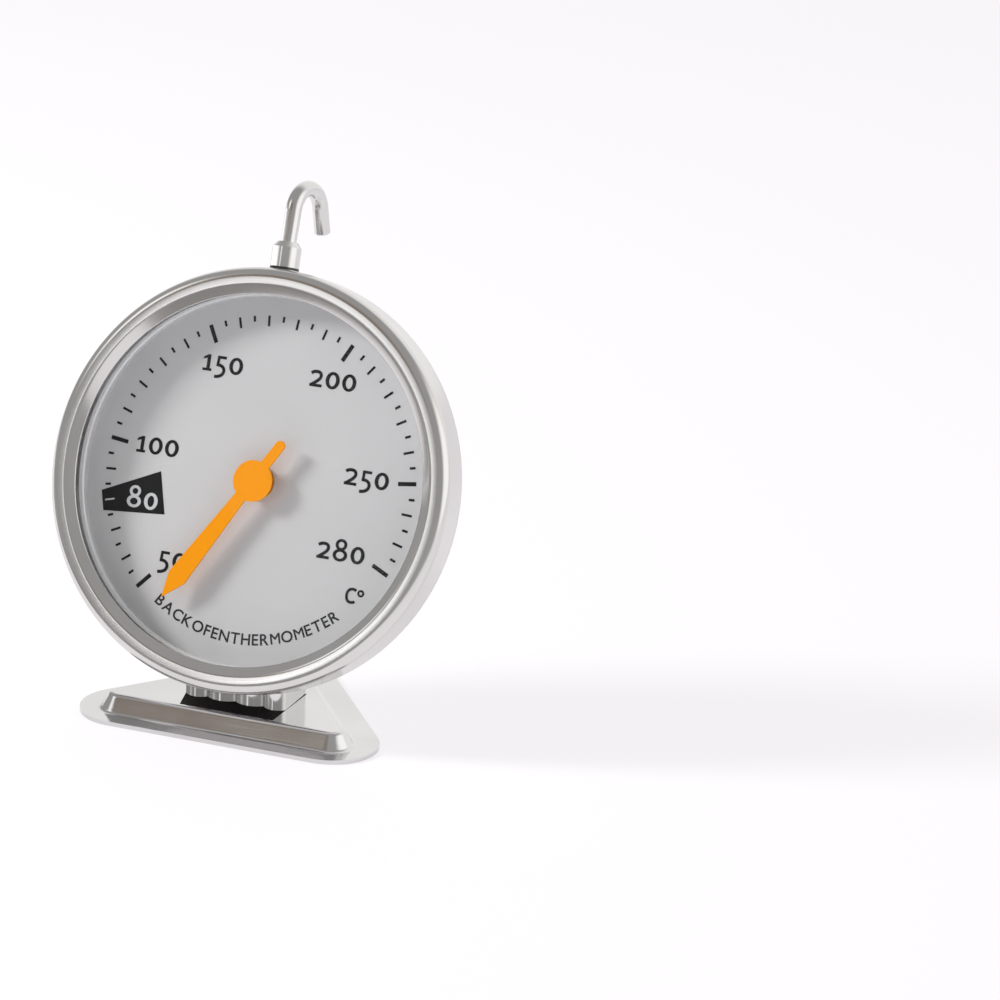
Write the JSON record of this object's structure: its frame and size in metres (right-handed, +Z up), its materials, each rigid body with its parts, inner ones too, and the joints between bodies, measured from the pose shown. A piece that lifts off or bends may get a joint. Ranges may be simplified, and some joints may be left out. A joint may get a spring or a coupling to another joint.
{
  "type": "oven thermometer",
  "caption": "Free-standing oven thermometer: round steel case with glass front and turning pointer, on a bracket and three-cornered base, with a swivelling wire hook on top.",
  "frame": {"origin": "middle of the object's footprint box, on the surface it stands on", "axes": "+Z up; the dial faces -Y and leans back; +X is to the right as the dial is read"},
  "size_m": [0.078, 0.0469, 0.0964],
  "materials": {
    "base_steel": "mirror polished stainless steel",
    "bracket_steel": "mirror polished stainless steel",
    "rivet_steel": "plain steel",
    "bezel_steel": "polished stainless steel with a faint turned grain",
    "cover_steel": "satin stainless steel",
    "lens_glass": "clear, polished",
    "spacer_steel": "bright rolled strip",
    "dial_face": "satin silver",
    "dial_ink": "printed, satin",
    "inner_steel": "plain steel",
    "brass": "turned",
    "bimetal": "rolled strip",
    "pointer_paint": "orange, satin",
    "hook_steel": "satin wire",
    "ferrule_steel": "turned, satin"
  },
  "bodies": {
    "case": {"base_plate": "base_steel", "foot_rivets": "rivet_steel", "stand_bracket": "bracket_steel", "saddle_rivets": "rivet_steel", "bezel_ring": "bezel_steel", "back_cover": "cover_steel", "glass_lens": "lens_glass", "spacer_ring": "spacer_steel", "dial_plate": "dial_face", "support_ring": "inner_steel", "hook_washer": "hook_steel", "centre_bush": "brass", "bush_nut": "brass", "movement_strap": "inner_steel", "rear_bearing": "brass", "anchor_post": "inner_steel", "bimetal_coil": "bimetal"},
    "pointer": {"pointer": "pointer_paint", "pointer_hub": "brass", "pointer_shaft": "inner_steel", "coil_collet": "brass", "shaft_clip": "inner_steel"},
    "hook": {"hook_wire": "hook_steel", "hook_ferrule": "ferrule_steel", "hook_retainer": "inner_steel"}
  },
  "joints": [
    {"name": "pointer_turn", "type": "hinge", "parent": "case", "child": "pointer", "pos_m": [0, -0.00553, 0.04518], "axis": [0, 0.9409, -0.3387], "range_deg": [-22, 286], "stiffness_Nm_per_rad": 0.001, "deforming": ["bimetal_coil"]},
    {"name": "hook_swivel", "type": "hinge", "parent": "case", "child": "hook", "pos_m": [-0.00068, 0.00843, 0.0816], "axis": [-0.0174, 0.3387, 0.9407], "continuous": true}
  ]
}
